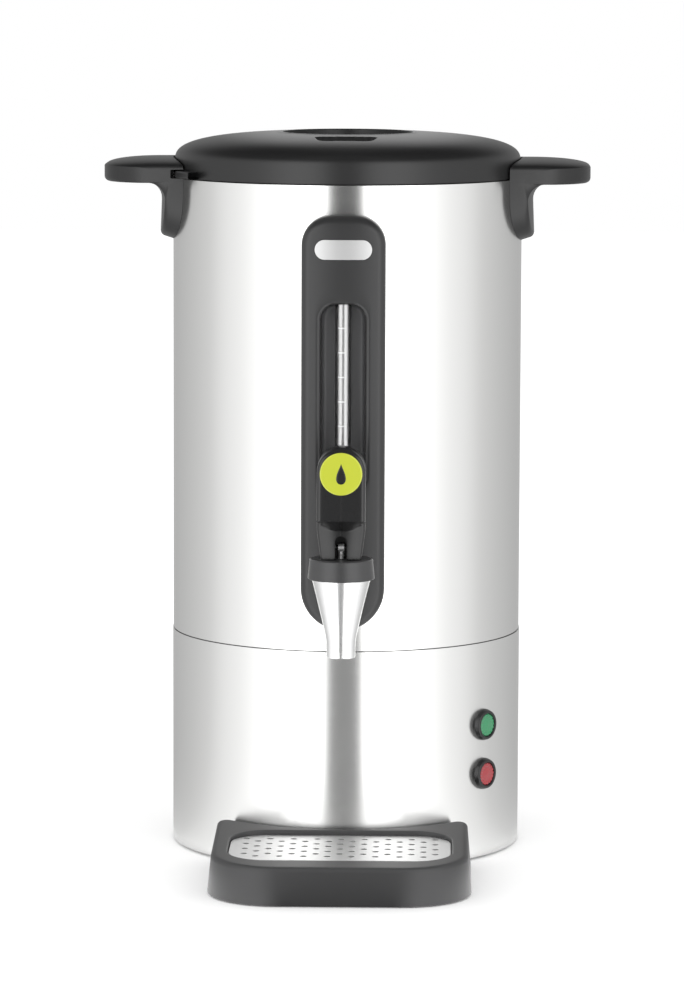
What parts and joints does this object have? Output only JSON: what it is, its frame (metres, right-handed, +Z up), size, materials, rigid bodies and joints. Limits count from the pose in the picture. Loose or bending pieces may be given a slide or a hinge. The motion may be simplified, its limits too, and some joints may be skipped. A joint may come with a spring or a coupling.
{
  "type": "coffee urn",
  "caption": "Steel drum coffee urn with a lever tap, sight tube, side handles, bayonet lid, lamps, inner percolator and a slide-out drip tray.",
  "frame": {"origin": "middle of the overall box, on the floor", "axes": "+Z up, -Y the front with the tap and tray, +X to the right seen from the front"},
  "size_m": [0.304, 0.3298, 0.4497],
  "materials": {
    "tank_steel": "satin",
    "inner_steel": "satin",
    "base_steel": "matte",
    "fixings": "satin",
    "chrome": "polished",
    "heater": "satin",
    "element": "satin",
    "black_plastic": "satin",
    "electric_plastic": "matte",
    "clear_tube": "gloss",
    "lime_badge": "gloss",
    "green_lens": "gloss",
    "red_lens": "gloss",
    "seal_rubber": "matte",
    "silicone": "matte"
  },
  "bodies": {
    "urn": {"tank": "tank_steel", "base_skirt": "tank_steel", "pump_tube": "inner_steel", "pump_foot": "inner_steel", "filter_basket": "inner_steel", "basket_cover": "inner_steel", "badge_plate": "inner_steel", "base_plate": "base_steel", "tie_stud": "fixings", "tie_nut": "fixings", "handle_screws": "fixings", "panel_screw": "fixings", "lamp_nuts": "fixings", "shank_nut": "fixings", "valve_spring": "fixings", "inlet_pins": "fixings", "tap_body": "chrome", "tap_shank": "chrome", "heater_plate": "heater", "boil_element": "element", "warm_element": "element", "handle_left": "black_plastic", "handle_right": "black_plastic", "front_panel": "black_plastic", "tap_bonnet": "black_plastic", "tap_collar": "black_plastic", "lamp_bezel_upper": "black_plastic", "lamp_bezel_lower": "black_plastic", "power_inlet": "black_plastic", "switch_body": "black_plastic", "thermostat": "electric_plastic", "thermal_cutout": "electric_plastic", "terminal_block": "electric_plastic", "sight_tube": "clear_tube", "lamp_lens_green": "green_lens", "lamp_lens_red": "red_lens", "joint_ring": "seal_rubber", "feet": "seal_rubber", "shank_washers": "seal_rubber", "tube_seals": "silicone"},
    "valve_stem": {"valve_stem": "chrome", "seat_cup": "silicone", "lever_pin": "fixings"},
    "tap_lever": {"tap_lever": "black_plastic", "lever_badge": "lime_badge"},
    "lid_seal": {"lid_gasket": "silicone"},
    "lid": {"lid_shell": "black_plastic", "lid_liner": "inner_steel", "lid_screws": "fixings"},
    "power_rocker": {"power_rocker": "black_plastic"},
    "drip_tray": {"tray_base": "black_plastic"},
    "drip_grid": {"drip_grid": "inner_steel"}
  },
  "joints": [
    {"name": "lid_lift", "type": "slide", "parent": "urn", "child": "lid_seal", "axis": [0, 0, 1], "range_m": [0, 0.16]},
    {"name": "lid_turn", "type": "hinge", "parent": "lid_seal", "child": "lid", "pos_m": [0, 0.05255, 0.425], "axis": [0, 0, -1], "range_deg": [0, 19]},
    {"name": "stem_lift", "type": "slide", "parent": "urn", "child": "valve_stem", "axis": [0, 0, 1], "range_m": [0, 0.005], "deforming": ["valve_spring"]},
    {"name": "lever_pull", "type": "hinge", "parent": "valve_stem", "child": "tap_lever", "pos_m": [0, -0.10245, 0.20645], "axis": [1, 0, 0], "range_deg": [0, 35], "stiffness_Nm_per_rad": 0.2, "springref_deg": -20.05},
    {"name": "rocker_tip", "type": "hinge", "parent": "urn", "child": "power_rocker", "pos_m": [0.0542, 0.14643, 0.046], "axis": [-0.866, 0.5, 0], "range_deg": [0, 20]},
    {"name": "tray_pull", "type": "slide", "parent": "urn", "child": "drip_tray", "axis": [0, -1, 0], "range_m": [0, 0.12]},
    {"name": "grid_lift", "type": "slide", "parent": "drip_tray", "child": "drip_grid", "axis": [0, 0, 1], "range_m": [0, 0.06]}
  ],
  "couplings": [
    {"joint": "stem_lift", "follows": "lever_pull", "m_per_rad": 0.008}
  ]
}
